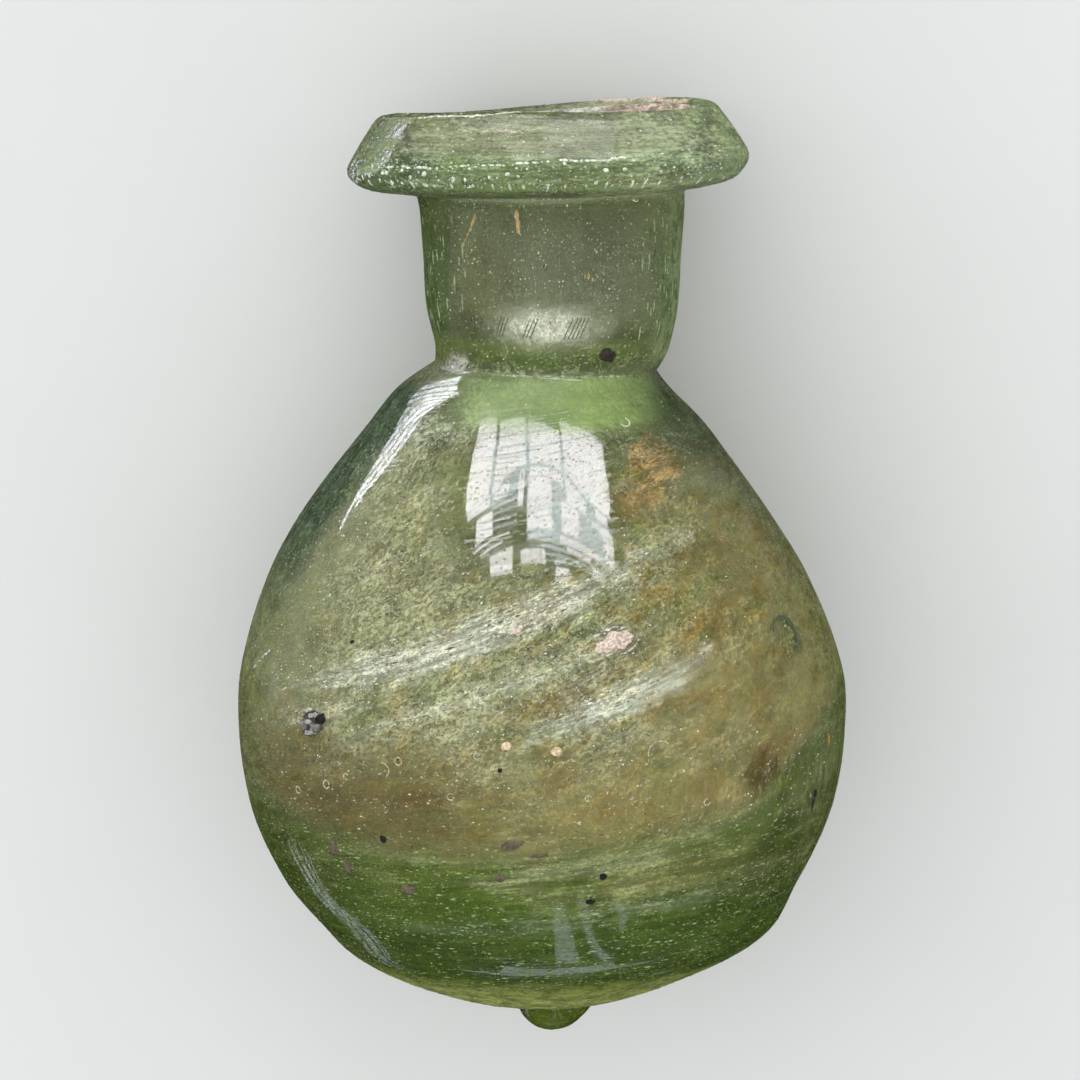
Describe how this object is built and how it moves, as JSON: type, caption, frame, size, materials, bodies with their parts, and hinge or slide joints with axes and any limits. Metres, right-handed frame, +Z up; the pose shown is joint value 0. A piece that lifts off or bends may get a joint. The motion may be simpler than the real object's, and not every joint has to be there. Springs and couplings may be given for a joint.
{
  "type": "glass perfume flask",
  "caption": "Pear-shaped blown-glass perfume flask with a short cup-shaped neck, a folded collar rim and a small sprinkler hole, lying on its side.",
  "frame": {"origin": "middle of the lying flask's bounding box, on the surface it lies on", "axes": "+Y along the flask towards its mouth, +Z up, +X to the right of someone who looks down on it with the mouth away from them"},
  "size_m": [0.0656, 0.102, 0.0654],
  "materials": {
    "glass": "pale olive-green free-blown glass with seed bubbles, weathering film and soil deposits"
  },
  "bodies": {
    "root": {"flask": "glass"}
  },
  "joints": []
}
